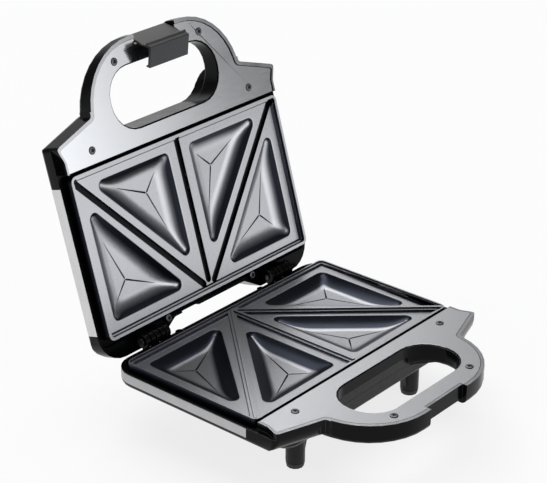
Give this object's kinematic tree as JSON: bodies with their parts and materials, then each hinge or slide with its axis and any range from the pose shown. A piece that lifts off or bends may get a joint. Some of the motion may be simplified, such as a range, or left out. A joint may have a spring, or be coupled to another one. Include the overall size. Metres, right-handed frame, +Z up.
{
  "type": "sandwich maker",
  "caption": "Hinged sandwich toaster, open: two cast plates with triangular pockets, loop handles, latch clip, raised feet.",
  "frame": {"origin": "middle of the footprint of the open object, on the surface that it stands on", "axes": "+X across toward the right seen from the front, +Y from the handles toward the hinge, +Z up"},
  "size_m": [0.2326, 0.287, 0.2634],
  "materials": {
    "gloss_black": "moulded near-black thermoset, glossy with a soft edge shine",
    "pan_black": "moulded dark grey, satin",
    "deck_steel": "polished stainless sheet, almost mirror-like",
    "cover_steel": "satin stainless sheet",
    "plate_coating": "cast aluminium with a grey satin non-stick coating",
    "element_sheath": "steel sheath, dull",
    "reflector_steel": "pressed galvanised sheet",
    "screw_steel": "zinc-plated steel",
    "pin_steel": "plain steel",
    "ceramic": "unglazed ceramic",
    "rubber": "matt black rubber",
    "clip_black": "satin dark grey-black moulding",
    "lamp_red": "clear red lens",
    "lamp_green": "clear green lens"
  },
  "bodies": {
    "base": {"base_housing": "gloss_black", "base_cooking_plate": "plate_coating", "bottom_pan": "pan_black", "base_deck": "deck_steel", "base_heating_element": "element_sheath", "base_reflector": "reflector_steel", "thermostat": "ceramic", "cord_gland": "rubber", "foot_pad_front_right": "rubber", "foot_pad_front_left": "rubber", "foot_pad_rear_right": "rubber", "foot_pad_rear_left": "rubber", "terminal_block": "ceramic", "thermal_fuse": "ceramic", "hinge_pin_right": "pin_steel", "hinge_pin_left": "pin_steel", "base_deck_screw_shoulder_right": "screw_steel", "base_deck_screw_loop_right": "screw_steel", "base_deck_screw_shoulder_left": "screw_steel", "base_deck_screw_loop_left": "screw_steel", "base_plate_screw_front_right": "screw_steel", "base_plate_screw_rear_right": "screw_steel", "base_plate_screw_front_left": "screw_steel", "base_plate_screw_rear_left": "screw_steel", "pan_screw_front_right": "screw_steel", "pan_screw_rear_right": "screw_steel", "pan_screw_front_left": "screw_steel", "pan_screw_rear_left": "screw_steel", "side_band_right": "cover_steel", "side_band_left": "cover_steel"},
    "lid": {"lid_housing": "gloss_black", "lid_cooking_plate": "plate_coating", "lid_deck": "deck_steel", "lid_heating_element": "element_sheath", "lid_reflector": "reflector_steel", "lid_cover": "cover_steel", "lamp_lens_left": "lamp_red", "lamp_lens_right": "lamp_green", "lid_rear_screw_left": "screw_steel", "lid_rear_screw_right": "screw_steel", "lid_deck_screw_shoulder_right": "screw_steel", "lid_deck_screw_loop_right": "screw_steel", "lid_deck_screw_shoulder_left": "screw_steel", "lid_deck_screw_loop_left": "screw_steel", "lid_plate_screw_front_right": "screw_steel", "lid_plate_screw_rear_right": "screw_steel", "lid_plate_screw_front_left": "screw_steel", "lid_plate_screw_rear_left": "screw_steel", "neon_lamp_left": "lamp_red", "neon_lamp_right": "lamp_green", "latch_pin": "pin_steel"},
    "latch_clip": {"latch_clip": "clip_black"}
  },
  "joints": [
    {"name": "lid_hinge", "type": "hinge", "parent": "base", "child": "lid", "pos_m": [0, 0.07125, 0.0575], "axis": [1, 0, 0], "range_deg": [0, 106.44]},
    {"name": "latch_pivot", "type": "hinge", "parent": "lid", "child": "latch_clip", "pos_m": [0, 0.13986, 0.25715], "axis": [1, 0, 0], "range_deg": [-22, 0]}
  ],
  "couplings": [
    {"joint": "latch_pivot", "follows": "lid_hinge", "ratio": -0.20669}
  ]
}
